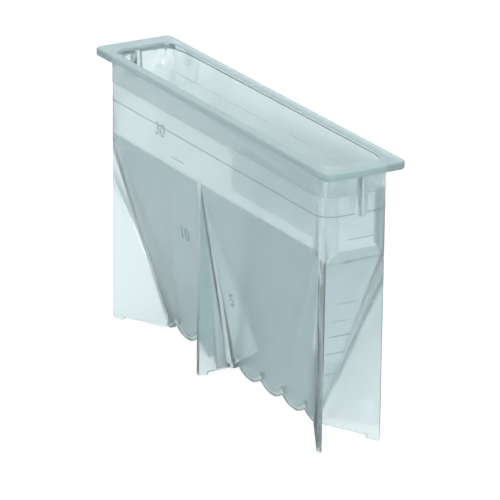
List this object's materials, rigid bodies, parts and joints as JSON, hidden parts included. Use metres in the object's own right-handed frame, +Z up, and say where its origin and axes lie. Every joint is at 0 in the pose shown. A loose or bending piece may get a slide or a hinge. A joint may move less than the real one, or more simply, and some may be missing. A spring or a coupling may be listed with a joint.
{
  "type": "reagent reservoir",
  "caption": "Tall narrow one-piece trough for a multichannel pipette, with a thin rim, leaning walls, a row of round pockets at the foot and upright webs with small feet.",
  "frame": {"origin": "middle of the footprint, on the plane that the feet stand on", "axes": "+X along the row of pockets, +Y across the trough, +Z up out of the opening"},
  "size_m": [0.0972, 0.0188, 0.0617],
  "materials": {
    "polypropylene": "satin"
  },
  "bodies": {
    "root": {"reservoir_body": "polypropylene"}
  },
  "joints": []
}
